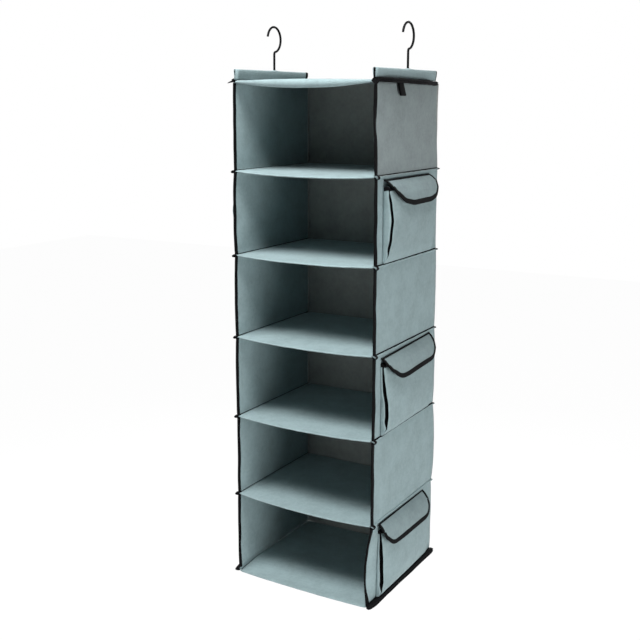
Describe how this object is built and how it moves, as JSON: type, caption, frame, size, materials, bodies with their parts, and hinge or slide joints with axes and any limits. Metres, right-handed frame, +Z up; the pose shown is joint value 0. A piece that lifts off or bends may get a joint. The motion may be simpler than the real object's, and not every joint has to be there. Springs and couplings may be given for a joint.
{
  "type": "hanging shoe organizer",
  "caption": "Tall soft hanging closet organizer: open-front cloth compartments, flap pockets on both sides, black bound edges and two wire hooks for a closet rod.",
  "frame": {"origin": "on the closet rod's axis at the centre of the two hooks' bends, midway between the hooks", "axes": "+X to the right along the rod, -Y is the open front, +Z up; the part hangs below the origin"},
  "size_m": [0.3568, 0.28, 1.0897],
  "materials": {
    "grey_cloth": "matte non-woven polypropylene cloth, grey green",
    "black_tape": "black woven bias tape, slight sheen",
    "board": "plain grey-brown board, hidden in the shelf sleeves",
    "batten": "plain wooden batten, hidden in the hanger sleeves",
    "hook_wire": "glossy black coated steel wire"
  },
  "bodies": {
    "body": {"left_side_panel": "grey_cloth", "right_side_panel": "grey_cloth", "back_panel": "grey_cloth", "top_panel": "grey_cloth", "top_panel_board": "board", "top_front_hem": "grey_cloth", "left_front_binding": "black_tape", "right_front_binding": "black_tape", "left_top_binding": "black_tape", "right_top_binding": "black_tape", "left_hanger_sleeve": "grey_cloth", "right_hanger_sleeve": "grey_cloth", "left_hanger_bar": "batten", "right_hanger_bar": "batten", "ribbon_loop": "black_tape", "left_upper_pocket": "grey_cloth", "left_middle_pocket": "grey_cloth", "left_lower_pocket": "grey_cloth", "right_upper_pocket": "grey_cloth", "right_middle_pocket": "grey_cloth", "right_lower_pocket": "grey_cloth", "left_upper_pocket_binding": "black_tape", "left_middle_pocket_binding": "black_tape", "left_lower_pocket_binding": "black_tape", "right_upper_pocket_binding": "black_tape", "right_middle_pocket_binding": "black_tape", "right_lower_pocket_binding": "black_tape"},
    "shelf_1": {"shelf_1": "grey_cloth", "shelf_1_board": "board"},
    "shelf_2": {"shelf_2": "grey_cloth", "shelf_2_board": "board"},
    "shelf_3": {"shelf_3": "grey_cloth", "shelf_3_board": "board"},
    "shelf_4": {"shelf_4": "grey_cloth", "shelf_4_board": "board"},
    "shelf_5": {"shelf_5": "grey_cloth", "shelf_5_board": "board"},
    "bottom": {"bottom_panel": "grey_cloth", "bottom_panel_board": "board", "left_bottom_binding": "black_tape", "right_bottom_binding": "black_tape"},
    "left_hook": {"left_hook": "hook_wire", "left_hook_stop": "hook_wire"},
    "right_hook": {"right_hook": "hook_wire", "right_hook_stop": "hook_wire"},
    "left_upper_flap": {"left_upper_flap": "grey_cloth", "left_upper_flap_binding": "black_tape"},
    "left_middle_flap": {"left_middle_flap": "grey_cloth", "left_middle_flap_binding": "black_tape"},
    "left_lower_flap": {"left_lower_flap": "grey_cloth", "left_lower_flap_binding": "black_tape"},
    "right_upper_flap": {"right_upper_flap": "grey_cloth", "right_upper_flap_binding": "black_tape"},
    "right_middle_flap": {"right_middle_flap": "grey_cloth", "right_middle_flap_binding": "black_tape"},
    "right_lower_flap": {"right_lower_flap": "grey_cloth", "right_lower_flap_binding": "black_tape"}
  },
  "joints": [
    {"name": "collapse", "type": "slide", "parent": "body", "child": "bottom", "axis": [0, 0, 1], "range_m": [0, 0.82152], "deforming": ["left_side_panel", "right_side_panel", "back_panel", "left_front_binding", "right_front_binding", "left_upper_pocket", "left_middle_pocket", "left_lower_pocket", "right_upper_pocket", "right_middle_pocket", "right_lower_pocket", "left_upper_pocket_binding", "left_middle_pocket_binding", "left_lower_pocket_binding", "right_upper_pocket_binding", "right_middle_pocket_binding", "right_lower_pocket_binding"]},
    {"name": "shelf_1_lift", "type": "slide", "parent": "body", "child": "shelf_1", "axis": [0, 0, 1], "range_m": [0, 0.14212]},
    {"name": "shelf_2_lift", "type": "slide", "parent": "body", "child": "shelf_2", "axis": [0, 0, 1], "range_m": [0, 0.2782]},
    {"name": "shelf_3_lift", "type": "slide", "parent": "body", "child": "shelf_3", "axis": [0, 0, 1], "range_m": [0, 0.41428]},
    {"name": "shelf_4_lift", "type": "slide", "parent": "body", "child": "shelf_4", "axis": [0, 0, 1], "range_m": [0, 0.55036]},
    {"name": "shelf_5_lift", "type": "slide", "parent": "body", "child": "shelf_5", "axis": [0, 0, 1], "range_m": [0, 0.68644]},
    {"name": "left_hook_swivel", "type": "hinge", "parent": "body", "child": "left_hook", "pos_m": [-0.1454, 0, -0.0605], "axis": [0, 0, 1], "continuous": true},
    {"name": "right_hook_swivel", "type": "hinge", "parent": "body", "child": "right_hook", "pos_m": [0.1454, 0, -0.0605], "axis": [0, 0, 1], "continuous": true},
    {"name": "left_upper_flap_hinge", "type": "hinge", "parent": "shelf_1", "child": "left_upper_flap", "pos_m": [-0.1516, 0, -0.26], "axis": [0, 1, 0], "range_deg": [0, 75]},
    {"name": "left_middle_flap_hinge", "type": "hinge", "parent": "shelf_3", "child": "left_middle_flap", "pos_m": [-0.1516, 0, -0.584], "axis": [0, 1, 0], "range_deg": [0, 75]},
    {"name": "left_lower_flap_hinge", "type": "hinge", "parent": "shelf_5", "child": "left_lower_flap", "pos_m": [-0.1516, 0, -0.908], "axis": [0, 1, 0], "range_deg": [0, 75]},
    {"name": "right_upper_flap_hinge", "type": "hinge", "parent": "shelf_1", "child": "right_upper_flap", "pos_m": [0.1516, 0, -0.26], "axis": [0, -1, 0], "range_deg": [0, 75]},
    {"name": "right_middle_flap_hinge", "type": "hinge", "parent": "shelf_3", "child": "right_middle_flap", "pos_m": [0.1516, 0, -0.584], "axis": [0, -1, 0], "range_deg": [0, 75]},
    {"name": "right_lower_flap_hinge", "type": "hinge", "parent": "shelf_5", "child": "right_lower_flap", "pos_m": [0.1516, 0, -0.908], "axis": [0, -1, 0], "range_deg": [0, 75]}
  ],
  "couplings": [
    {"joint": "shelf_1_lift", "follows": "collapse", "ratio": 0.17178},
    {"joint": "shelf_2_lift", "follows": "collapse", "ratio": 0.33742},
    {"joint": "shelf_3_lift", "follows": "collapse", "ratio": 0.50307},
    {"joint": "shelf_4_lift", "follows": "collapse", "ratio": 0.66871},
    {"joint": "shelf_5_lift", "follows": "collapse", "ratio": 0.83436}
  ]
}
